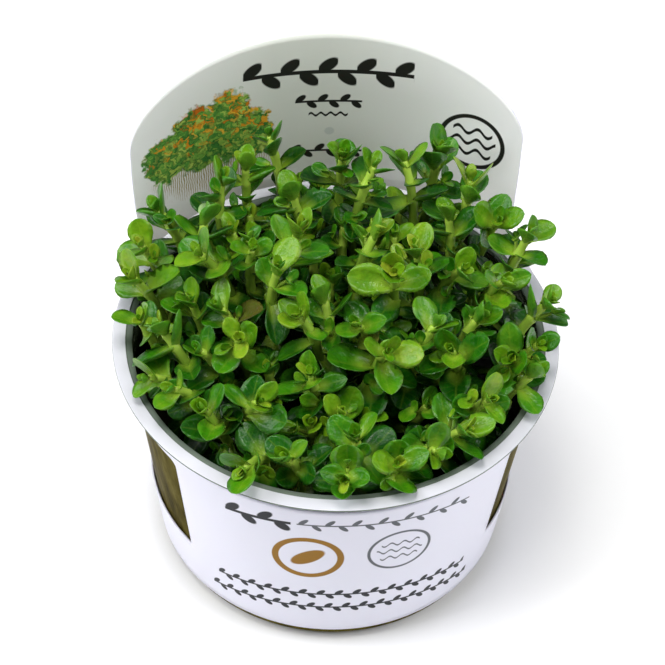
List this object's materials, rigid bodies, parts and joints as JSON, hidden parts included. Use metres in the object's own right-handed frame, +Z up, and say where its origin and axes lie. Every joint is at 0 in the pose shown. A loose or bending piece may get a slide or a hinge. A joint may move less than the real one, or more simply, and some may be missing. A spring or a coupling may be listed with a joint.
{
  "type": "potted aquarium plant",
  "caption": "Leafy aquarium stem plant grown in gel in a round clear cup, with a white wrap-round sheet whose arched back panel stands up behind the shoots.",
  "frame": {"origin": "middle of the cup's flat underside", "axes": "+Z up along the cup's axis; the sheet's front panel faces -Y and its arched back panel is at +Y"},
  "size_m": [0.1016, 0.1013, 0.105],
  "materials": {
    "clear_plastic": "clear, slightly hazy",
    "gel": "wet satin",
    "white_sheet": "satin, printed",
    "leaf_and_stem": "soft gloss, fleshy"
  },
  "bodies": {
    "root": {"cup": "clear_plastic", "growing_gel": "gel", "label": "white_sheet", "shoot_01": "leaf_and_stem", "shoot_02": "leaf_and_stem", "shoot_03": "leaf_and_stem", "shoot_04": "leaf_and_stem", "shoot_05": "leaf_and_stem", "shoot_06": "leaf_and_stem", "shoot_07": "leaf_and_stem", "shoot_08": "leaf_and_stem", "shoot_09": "leaf_and_stem", "shoot_10": "leaf_and_stem", "shoot_11": "leaf_and_stem", "shoot_12": "leaf_and_stem", "shoot_13": "leaf_and_stem", "shoot_14": "leaf_and_stem", "shoot_15": "leaf_and_stem", "shoot_16": "leaf_and_stem", "shoot_17": "leaf_and_stem", "shoot_18": "leaf_and_stem", "shoot_19": "leaf_and_stem", "shoot_20": "leaf_and_stem", "shoot_21": "leaf_and_stem", "shoot_22": "leaf_and_stem", "shoot_23": "leaf_and_stem", "shoot_24": "leaf_and_stem", "shoot_25": "leaf_and_stem", "shoot_26": "leaf_and_stem", "shoot_27": "leaf_and_stem", "shoot_28": "leaf_and_stem", "shoot_29": "leaf_and_stem", "shoot_30": "leaf_and_stem", "shoot_31": "leaf_and_stem", "shoot_32": "leaf_and_stem", "shoot_33": "leaf_and_stem", "shoot_34": "leaf_and_stem", "shoot_35": "leaf_and_stem", "shoot_36": "leaf_and_stem", "shoot_37": "leaf_and_stem", "shoot_38": "leaf_and_stem", "shoot_39": "leaf_and_stem", "shoot_40": "leaf_and_stem", "shoot_41": "leaf_and_stem", "shoot_42": "leaf_and_stem", "shoot_43": "leaf_and_stem", "shoot_44": "leaf_and_stem", "shoot_45": "leaf_and_stem", "shoot_46": "leaf_and_stem", "shoot_47": "leaf_and_stem", "shoot_48": "leaf_and_stem", "shoot_49": "leaf_and_stem", "shoot_50": "leaf_and_stem", "shoot_51": "leaf_and_stem", "shoot_52": "leaf_and_stem", "shoot_53": "leaf_and_stem", "shoot_54": "leaf_and_stem"}
  },
  "joints": []
}
